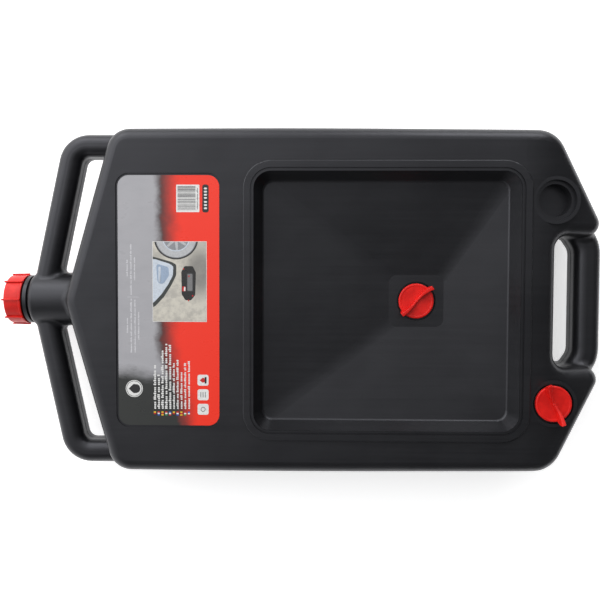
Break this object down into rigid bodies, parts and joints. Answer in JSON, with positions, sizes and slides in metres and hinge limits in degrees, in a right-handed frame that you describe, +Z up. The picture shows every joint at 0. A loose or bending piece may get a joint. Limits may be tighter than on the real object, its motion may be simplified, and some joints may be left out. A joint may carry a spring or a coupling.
{
  "type": "oil drain pan",
  "caption": "Flat hollow tank with a sunken dish that drains into it, a capped spout between two loop handles, a carrying grip and screw plugs.",
  "frame": {"origin": "middle of the object's footprint, on the floor it lies on", "axes": "+X from the spout's cap to the carrying grip, +Y across, +Z up out of the dish"},
  "size_m": [0.6054, 0.3386, 0.0993],
  "materials": {
    "black_polyethylene": "satin, fine moulded grain",
    "printed_label": "printed film, semi-gloss",
    "red_plastic": "moulded, semi-gloss",
    "black_rubber": "matt",
    "seal_foam": "matt foam"
  },
  "bodies": {
    "container": {"container_body": "black_polyethylene", "instruction_label": "printed_label"},
    "drain_plug_seal": {"drain_plug_o_ring": "black_rubber"},
    "drain_plug": {"drain_plug": "red_plastic"},
    "vent_plug_seal": {"vent_plug_o_ring": "black_rubber"},
    "vent_plug": {"vent_plug": "red_plastic"},
    "spout_cap_seal": {"spout_cap_liner": "seal_foam"},
    "spout_cap": {"spout_cap": "red_plastic"}
  },
  "joints": [
    {"name": "drain_plug_travel", "type": "slide", "parent": "container", "child": "drain_plug_seal", "axis": [0, 0, 1], "range_m": [0, 0.01001]},
    {"name": "drain_plug_turn", "type": "hinge", "parent": "drain_plug_seal", "child": "drain_plug", "pos_m": [0.11575, 0, 0.06], "axis": [0, 0, 1], "range_deg": [0, 900]},
    {"name": "vent_plug_travel", "type": "slide", "parent": "container", "child": "vent_plug_seal", "axis": [0, 0, 1], "range_m": [0, 0.01001]},
    {"name": "vent_plug_turn", "type": "hinge", "parent": "vent_plug_seal", "child": "vent_plug", "pos_m": [0.24575, -0.0985, 0.0844], "axis": [0, 0, 1], "range_deg": [0, 900]},
    {"name": "spout_cap_travel", "type": "slide", "parent": "container", "child": "spout_cap_seal", "axis": [-1, 0, 0], "range_m": [0, 0.00801]},
    {"name": "spout_cap_turn", "type": "hinge", "parent": "spout_cap_seal", "child": "spout_cap", "pos_m": [-0.28375, 0, 0.045], "axis": [-1, 0, 0], "range_deg": [0, 720]}
  ],
  "couplings": [
    {"joint": "drain_plug_travel", "follows": "drain_plug_turn", "m_per_rad": 0.00063662},
    {"joint": "vent_plug_travel", "follows": "vent_plug_turn", "m_per_rad": 0.00063662},
    {"joint": "spout_cap_travel", "follows": "spout_cap_turn", "m_per_rad": 0.00063662}
  ]
}
